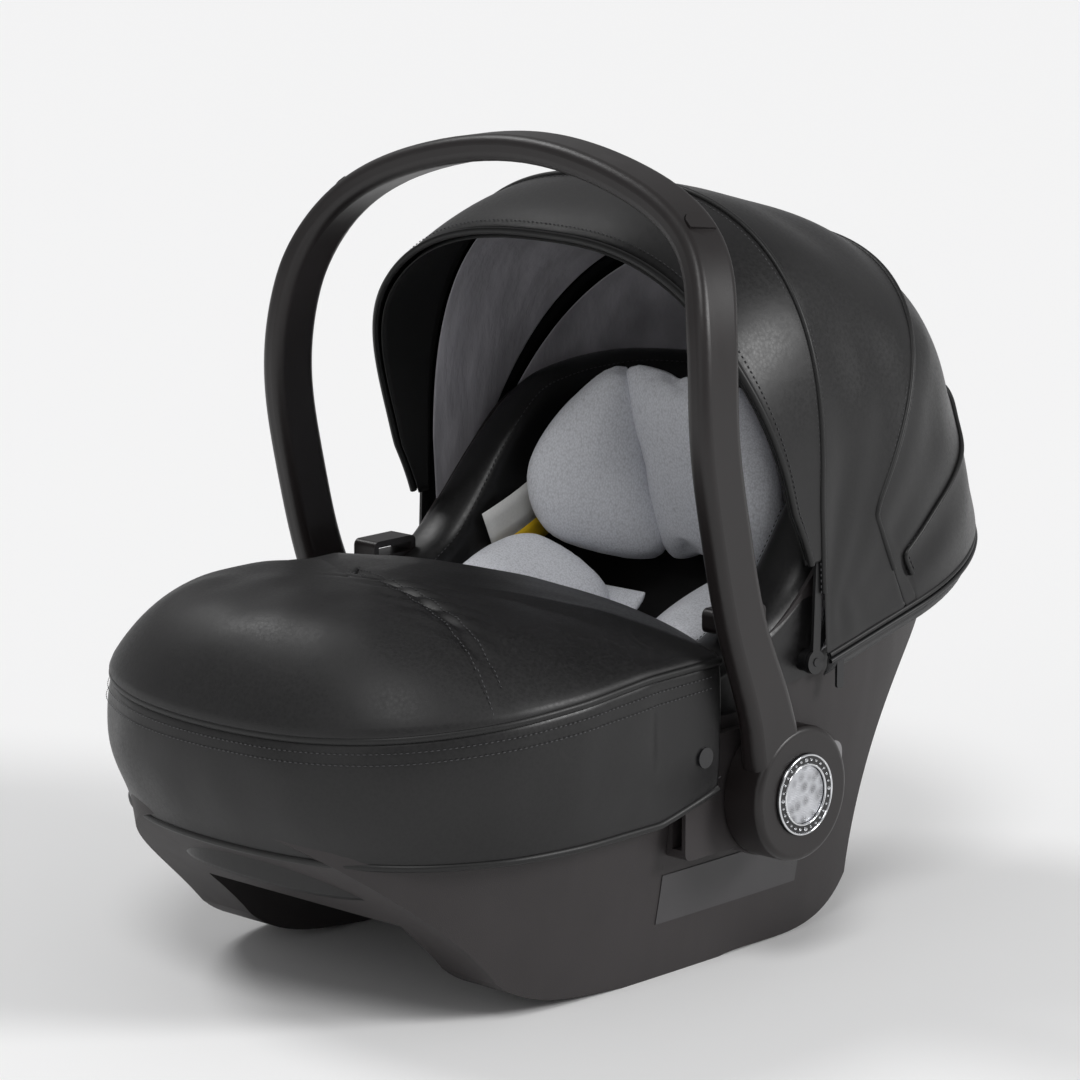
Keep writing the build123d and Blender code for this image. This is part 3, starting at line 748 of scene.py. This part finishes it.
def make_apron():
    """Foot apron: a padded top, a band round the seat, and their piping and stitching."""
    seam = [Vector((p.x, p.y, seam_height(p))) for p in apron_ring(121)]
    rear = [rear_edge(-APRON_HALF + 2 * APRON_HALF * k / 40) for k in range(41)]
    loop = seam + rear[1:-1]
    rings = [[apron_top_point(e, 1 - k / 22) for e in loop] for k in range(23)]
    top = grid("apron_top", rings, "leather_soft", around=True)
    modifier(top, "SOLIDIFY", thickness=0.006, offset=-1)
    modifier(top, "SUBSURF", levels=1, render_levels=1)
    place(apply_all(top), "foot_apron", "leather", "apron")
    rows = band_rows(seam, 13)
    band = grid("apron_band", rows, "leather")
    modifier(band, "SOLIDIFY", thickness=0.003, offset=0)
    modifier(band, "SUBSURF", levels=1, render_levels=1)
    place(apply_all(band), "foot_apron", "leather")
    piping = (("apron_seam_piping", [p + Vector((0, 0, 0.001)) for p in seam], 0.0034),
              ("apron_hem_lower", rows[-1], 0.0030), ("apron_hem_rear", rear, 0.0030))
    for name, line, radius in piping:
        place(tube(name, line, radius, "piping"), "foot_apron", "leather")
    sewn = {
        "apron_band_stitch_0": [p + outward(p) * 0.0026 for p in rows[1][4:-4]],
        "apron_band_stitch_1": [p + outward(p) * 0.0026 for p in rows[2][4:-4]],
        "apron_hem_stitch": [p + outward(p) * 0.0012 for p in rows[-2]],
        "apron_top_stitch": [apron_top_point(e, 0.93) + Vector((0, 0, 0.0008)) for e in seam],
        "apron_slant_stitch_0": slant_line(top, -0.0075),
        "apron_slant_stitch_1": slant_line(top, 0.0075),
    }
    for name, line in sewn.items():
        place(stitches(name, line), "foot_apron", "leather")


def band_rows(seam, count):
    """Rows of the apron's band, from the seam down to the hem."""
    rows = []
    for k in range(count):
        t = k / (count - 1)
        row = []
        for i, p in enumerate(seam):
            share = i / (len(seam) - 1)
            end = abs(2 * share - 1)
            low = HEM_Z + HEM_END_RISE * max(end - 0.8, 0) / 0.2
            out = 1 + 0.016 * math.sin(math.pi * min(t * 1.1, 1)) - 0.035 * t ** 2 * (1 - end ** 8)
            ripple = 0.0022 * fold((p.x, p.y, t * 0.08), 26, 5.5) * math.sin(math.pi * t)
            limit = BAND_HALF_REAR if p.y > HANDLE_FRONT_Y else BAND_HALF
            x = max(min(p.x * out + ripple, limit), -limit)
            row.append(Vector((x, p.y * out + ripple, p.z + (low - p.z) * t)))
        rows.append(row)
    return rows


def slant_line(top, offset, count=60):
    """A line on the apron's top beside its slanting seam."""
    surface = [v.co for v in top.data.vertices]
    line = []
    for i in range(count):
        t = i / (count - 1)
        x = SLANT_START.x + SLANT_RUN.x * t + SLANT_ACROSS.x * offset
        y = SLANT_START.y + SLANT_RUN.y * t + SLANT_ACROSS.y * offset
        near = sorted(surface, key=lambda c: (c.x - x) ** 2 + (c.y - y) ** 2)[:6]
        line.append(Vector((x, y, max(c.z for c in near) + 0.0002)))
    return line


# ---------------------------------------------------------------- cover
# side view of the shell's rim, and of the lower edge of the cover's skirt
RIM = [(-0.380, 0.186), (-0.290, 0.194), (-0.150, 0.206), (-0.050, 0.227), (0.025, 0.256), (0.060, 0.286),
       (0.100, 0.328), (0.145, 0.364), (0.190, 0.376), (0.250, 0.380), (0.330, 0.370)]
SKIRT_EDGE = [(-0.072, 0.212), (-0.048, 0.195), (0.0, 0.190), (0.060, 0.192), (0.120, 0.208), (0.200, 0.240),
              (0.330, 0.268)]
# +X half of the shell and of the trough in plan
SHELL_PLAN = [(0, -0.362), (0.092, -0.354), (0.148, -0.316), (0.178, -0.240), (0.189, -0.110), (0.190, 0.030),
              (0.184, 0.140), (0.158, 0.226), (0.104, 0.290), (0, 0.318)]
TROUGH_PLAN = [(0, -0.326), (0.082, -0.316), (0.120, -0.280), (0.136, -0.210), (0.142, -0.090),
               (0.143, 0.030), (0.140, 0.120), (0.126, 0.200), (0.086, 0.262), (0, 0.285)]
SKIRT_ROWS, ROLL_ROWS, FALL_ROWS = 5, 7, 4
ROLL_SINK, ROLL_RISE = 0.006, 0.0185     # how far the roll's edges lie under the rim, and its own height


def plan_ring(half, count):
    """Points right round a plan outline given as its +X half."""
    left = [(-x, y) for x, y in half[-2:0:-1]]
    return curve_through([(x, y, 0) for x, y in half + left], count, closed=True)


def make_cover():
    """Leather roll over the rim, with its skirt outside and its fall inside the trough."""
    count = 160
    outside, inside = plan_ring(SHELL_PLAN, count), plan_ring(TROUGH_PLAN, count)
    rows = [[] for _ in range(SKIRT_ROWS + ROLL_ROWS + FALL_ROWS)]
    for o, n in zip(outside, inside):
        rim = lookup(RIM, o.y)
        out = Vector((o.x, o.y, 0)) - Vector((n.x, n.y, 0))
        wide = out.length
        out.normalize()
        skirt = lookup(SKIRT_EDGE, o.y) if o.y > -0.07 else rim - 0.008
        base = Vector((o.x, o.y, 0))
        for k in range(SKIRT_ROWS):
            t = k / (SKIRT_ROWS - 1)
            z = skirt + (rim - 0.004 - skirt) * t
            flare = -0.15 * (0.240 - z) if z < 0.240 else 0
            rows[k].append(base + out * (0.0022 + flare) + Vector((0, 0, z)))
        for k in range(ROLL_ROWS):
            a = math.pi * k / (ROLL_ROWS - 1)
            x = wide / 2 + (wide / 2 + 0.0015) * math.cos(a)
            z = rim + ROLL_RISE * math.sin(a) ** 0.75 - ROLL_SINK
            wave = 0.0012 * fold((o.x, o.y, k * 0.02), 30, 2.2)
            rows[SKIRT_ROWS + k].append(base + out * (x - wide) + Vector((0, 0, z + wave)))
        for k in range(FALL_ROWS):
            drop = 0.022 * (k + 1)
            inner = Vector((n.x, n.y, 0)) - out * (0.001 + 0.003 * k)
            rows[SKIRT_ROWS + ROLL_ROWS + k].append(inner + Vector((0, 0, rim - ROLL_SINK - drop)))
    cover = grid("seat_cover_leather", rows, "leather", around=True)
    modifier(cover, "SOLIDIFY", thickness=0.0012, offset=-1)
    modifier(cover, "SUBSURF", levels=1, render_levels=1)
    place(apply_all(cover), "seat", "leather", "cover_bolster", "cover_skirt")
    sewn = rows[SKIRT_ROWS + ROLL_ROWS - 2]
    place(stitches("cover_roll_stitch", sewn + sewn[:1]), "seat", "leather")
    lining = copy_node("cover_lining", "seat_lining_leather", "leather_soft")
    modifier(lining, "REMESH", mode="VOXEL", voxel_size=0.003, use_smooth_shade=True)
    modifier(lining, "SMOOTH", factor=0.5, iterations=4)
    place(apply_all(lining), "seat", "leather", "cover_lining")


# ---------------------------------------------------------------- inserts
def pad(name, outline, thickness, material, bulge=(0, 0, 0), power=2.4):
    """A crowned closed cushion on a closed outline of 3-D points; it bellies towards bulge."""
    edge = curve_through(outline, 72, closed=True)
    centre = sum(edge, Vector()) / len(edge)
    bulge = Vector(bulge)
    normal = bulge.normalized()
    front, back = [], []
    for k in range(13):
        ring = 1 - k / 12
        height = (1 - ring ** power) ** (1 / power)
        front.append([centre.lerp(e, ring) + bulge * height for e in edge])
        back.append([centre.lerp(e, ring) - normal * thickness * height for e in edge])
    rows = back[::-1] + front[1:]
    return grid(name, rows, material, around=True)


def make_head_pillow():
    """Newborn pillow: a middle panel and two puffy wings, sewn together."""
    centre = [(-0.056, 0.126, 0.398), (0.0, 0.124, 0.404), (0.056, 0.126, 0.398), (0.054, 0.140, 0.330),
              (0.034, 0.152, 0.252), (0, 0.154, 0.248), (-0.034, 0.152, 0.252), (-0.054, 0.140, 0.330)]
    parts = [pad("head_pillow_middle", centre, 0.030, "knit", (0, -0.012, 0.001))]
    for side in (-1, 1):
        wing = [(side * 0.052, 0.128, 0.400), (side * 0.094, 0.108, 0.372), (side * 0.122, 0.092, 0.322),
                (side * 0.116, 0.092, 0.280), (side * 0.090, 0.108, 0.256), (side * 0.034, 0.152, 0.250),
                (side * 0.042, 0.150, 0.320)]
        name = f"head_pillow_wing_{'left' if side < 0 else 'right'}"
        parts.append(pad(name, wing, 0.022, "knit", (-side * 0.016, -0.026, 0.004)))
    for k, part in enumerate(parts):
        inflate(part, cap=0.006, voxel=0.004)
        if k == 0:
            place(part, "seat", "insert_fabric", "head_pillow")
        else:
            place(part, "seat", "insert_fabric")


def make_body_cushion():
    """Seat cushion with two side wings, the shoulder sleeves, and the harness webbing."""
    for side, name in ((-1, "left"), (1, "right")):
        wing = [(side * 0.040, 0.100, 0.222), (side * 0.100, 0.092, 0.262), (side * 0.126, 0.060, 0.262),
                (side * 0.132, 0.000, 0.240), (side * 0.130, -0.080, 0.205), (side * 0.110, -0.120, 0.180),
                (side * 0.075, -0.060, 0.170), (side * 0.050, 0.030, 0.175)]
        part = pad(f"body_cushion_wing_{name}", wing, 0.020, "knit", (-side * 0.010, -0.002, 0.018))
        inflate(part, cap=0.006, voxel=0.004)
        place(part, "seat", "insert_fabric")
    middle = copy_node("body_cushion", "body_cushion_middle", "knit")
    inflate(middle, cap=0.004, voxel=0.005)
    place(middle, "seat", "insert_fabric", "body_cushion")
    for side, name in ((-1, "left"), (1, "right")):
        sleeve = copy_node(f"shoulder_pad_{name}", f"shoulder_sleeve_{name}", "knit")
        inflate(sleeve, cap=0.003, voxel=0.0035)
        place(sleeve, "seat", "insert_fabric", f"shoulder_pad_{name}")
        strap = copy_node(f"shoulder_strap_{name}", f"harness_webbing_{name}", "webbing")
        modifier(strap, "BEVEL", width=0.0006, segments=2)
        place(apply_all(strap), "seat", "webbing", f"shoulder_strap_{name}")
    for node in ("crotch_strap", "adjuster_strap"):
        strap = copy_node(node, f"{node}_webbing", "webbing")
        modifier(strap, "BEVEL", width=0.0006, segments=2)
        place(apply_all(strap), "seat", "webbing", node)


# ---------------------------------------------------------------- hard parts
FINISH = {
    "outer_shell": "shell", "foam_liner": "foam", "pivot_housing": "shell", "pivot_pin": "steel",
    "release_lever": "grey", "side_label": "patch", "carry_handle": "handle", "badge_ring": "gloss",
    "badge_face": "silver", "handle_button": "handle", "canopy_hinge": "black", "canopy_hoop": "black",
    "zip_slider": "gloss", "zip_pull": "gloss", "apron_snap": "gloss", "belt_guide": "handle",
    "buckle_body": "black", "buckle_button": "grey", "buckle_tongue": "steel", "adjuster_housing": "black",
    "adjuster_button": "grey", "zip": "webbing",
}


def finish_hard_parts():
    """Gives every CAD node that shows the material of its name's start."""
    for node, obj in NODES.items():
        key = next((k for k in sorted(FINISH, key=len, reverse=True) if node.startswith(k)), None)
        if key:
            obj.data.materials.clear()
            obj.data.materials.append(M[FINISH[key]])


BADGE_RIMS = (0.0292, 0.0222)
DOTS, DOT_RING = 28, 0.0257


def make_badges():
    """Thin chrome rims and a ring of plain dots on each hub's badge."""
    for side, name in ((1, "right"), (-1, "left")):
        face = max(side * v.co.x for v in NODES[f"badge_ring_{name}"].data.vertices)
        for k, radius in enumerate(BADGE_RIMS):
            rim = [(side * face, HUB.y + radius * math.cos(a), HUB.z + radius * math.sin(a))
                   for a in (2 * math.pi * i / 48 for i in range(48))]
            wire = tube(f"badge_rim_{name}_{k}", rim, 0.0009, "chrome", closed=True)
            place(wire, "handle", "chrome")
        bm = bmesh.new()
        for i in range(DOTS):
            a = 2 * math.pi * i / DOTS
            y, z = HUB.y + DOT_RING * math.cos(a), HUB.z + DOT_RING * math.sin(a)
            spot = Matrix.Translation((side * face, y, z))
            bmesh.ops.create_icosphere(bm, subdivisions=2, radius=0.0011 if i % 7 else 0.0017, matrix=spot)
        mesh = bpy.data.meshes.new(f"badge_dots_{name}")
        bm.to_mesh(mesh)
        bm.free()
        mesh.materials.append(M["chrome"])
        dots = bpy.data.objects.new(f"badge_dots_{name}", mesh)
        bpy.context.scene.collection.objects.link(dots)
        place(dots, "handle", "chrome")


def make_tag():
    """Blank tag inside the left wall: a white upper part and a yellow lower band."""
    top = Vector((-0.134, 0.052, 0.284)), Vector((-0.134, 0.112, 0.306))
    bottom = Vector((-0.132, 0.070, 0.238)), Vector((-0.132, 0.130, 0.260))
    for name, low, high in (("tag_white", 0.0, 0.62), ("tag_yellow", 0.62, 1.0)):
        rows = []
        for j in range(4):
            t = low + (high - low) * j / 3
            left, right = top[0].lerp(bottom[0], t), top[1].lerp(bottom[1], t)
            curl = [Vector((0.002 * math.sin(math.pi * i / 6), 0, 0)) for i in range(7)]
            rows.append([left.lerp(right, i / 6) + curl[i] for i in range(7)])
        tag = grid(name, rows, "label" if name == "tag_white" else "label_band")
        modifier(tag, "SOLIDIFY", thickness=0.0006, offset=0)
        place(apply_all(tag), "seat", "label")


# ---------------------------------------------------------------- stage, light and camera
def make_stage():
    """Pale floor, even studio light and four soft suns."""
    corners = [(-30, -30, 0), (30, -30, 0), (30, 30, 0), (-30, 30, 0)]
    floor = new_mesh("floor", corners, [(0, 1, 2, 3)], "floor")
    world = bpy.data.worlds.new("studio")
    bpy.context.scene.world = world
    world.use_nodes = True
    world.node_tree.nodes["Background"].inputs[0].default_value = (0.97, 0.97, 0.98, 1)
    world.node_tree.nodes["Background"].inputs[1].default_value = 0.34
    bpy.context.scene.view_settings.view_transform = "Standard"
    suns = (("key", (1.0, -1.4, 2.4), 0.85, 20), ("rim_right", (2.6, 1.5, 1.5), 1.55, 18),
            ("top_left", (-1.8, -0.2, 2.2), 0.85, 20), ("front", (0.2, -3.0, 0.9), 0.15, 30))
    for name, spot, strength, width in suns:
        data = bpy.data.lights.new(name, "SUN")
        data.energy, data.angle = strength, math.radians(width)
        obj = bpy.data.objects.new(name, data)
        obj.rotation_euler = (-Vector(spot)).to_track_quat("-Z", "Y").to_euler()
        bpy.context.scene.collection.objects.link(obj)


CAMERA_TURN, CAMERA_DROP = 43, 12          # degrees round from the foot end, and down
CAMERA_DISTANCE = 10 / 3


def make_camera():
    """The view from the foot end's right, through a long lens."""
    a, e = math.radians(CAMERA_TURN), math.radians(CAMERA_DROP)
    target = Vector((0, -0.026, 0.295))
    back = Vector((math.sin(a) * math.cos(e), -math.cos(a) * math.cos(e), math.sin(e)))
    data = bpy.data.cameras.new("camera")
    data.lens, data.sensor_width = 150, 36
    data.clip_end = 100
    cam = bpy.data.objects.new("camera", data)
    cam.location = target + back * CAMERA_DISTANCE
    cam.rotation_euler = (-back).to_track_quat("-Z", "Y").to_euler()
    bpy.context.scene.collection.objects.link(cam)
    bpy.context.scene.camera = cam


finish_hard_parts()
make_canopy()
make_canopy_edges()
make_visor()
make_apron()
make_cover()
make_head_pillow()
make_body_cushion()
make_badges()
make_tag()
make_stage()
make_camera()
